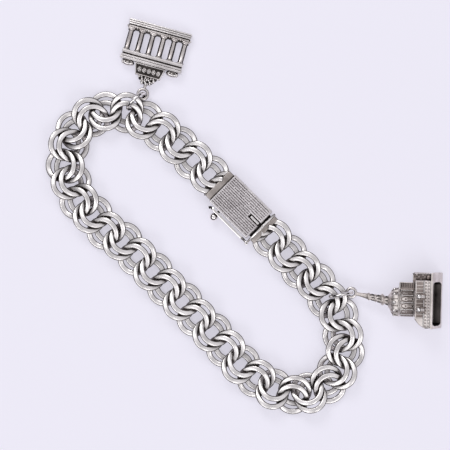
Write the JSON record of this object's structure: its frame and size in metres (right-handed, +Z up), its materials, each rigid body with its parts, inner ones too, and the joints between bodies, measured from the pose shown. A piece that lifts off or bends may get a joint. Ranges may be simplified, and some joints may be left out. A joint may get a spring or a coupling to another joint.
{
  "type": "charm bracelet",
  "caption": "Silver double-ring link bracelet lying flat and closed, with a box clasp, a hinged safety catch, and a city-gate charm and a cathedral charm on jump rings",
  "frame": {"origin": "The middle of the whole lying bracelet's box, on the plane that it lies on", "axes": "+Z up from the plane that it lies on; +X along the loop's longest side; +Y across it, toward the side with the clasp"},
  "size_m": [0.0968, 0.0534, 0.0079],
  "materials": {
    "satin_silver": "Sterling silver, flat-ground and lightly worn, with darkened hollows",
    "bright_silver": "Polished silver wire and strip",
    "cast_silver": "Cast silver with dark oxide left in the relief"
  },
  "bodies": {
    "bracelet": {"cathedral_charm": "cast_silver", "cathedral_jump_ring": "bright_silver", "clasp_box": "satin_silver", "clasp_tongue": "satin_silver", "gate_charm": "cast_silver", "gate_jump_ring": "bright_silver", "link_01": "satin_silver", "link_02": "satin_silver", "link_03": "satin_silver", "link_04": "satin_silver", "link_05": "satin_silver", "link_06": "satin_silver", "link_07": "satin_silver", "link_08": "satin_silver", "link_09": "satin_silver", "link_10": "satin_silver", "link_11": "satin_silver", "link_12": "satin_silver", "link_13": "satin_silver", "link_14": "satin_silver", "link_15": "satin_silver", "link_16": "satin_silver", "link_17": "satin_silver", "link_18": "satin_silver", "link_19": "satin_silver", "link_20": "satin_silver", "link_21": "satin_silver", "link_22": "satin_silver", "link_23": "satin_silver", "link_24": "satin_silver", "link_25": "satin_silver", "link_26": "satin_silver", "link_27": "satin_silver", "link_28": "satin_silver", "link_29": "satin_silver", "link_30": "satin_silver", "link_31": "satin_silver", "link_32": "satin_silver", "link_33": "satin_silver", "link_34": "satin_silver", "link_35": "satin_silver", "link_36": "satin_silver"},
    "safety_catch": {"safety_catch": "bright_silver"}
  },
  "joints": [
    {"name": "safety_catch_hinge", "type": "hinge", "parent": "bracelet", "child": "safety_catch", "pos_m": [0.00556, -0.00118, 0.00201], "axis": [0, 0, 1], "range_deg": [0, 100]}
  ]
}
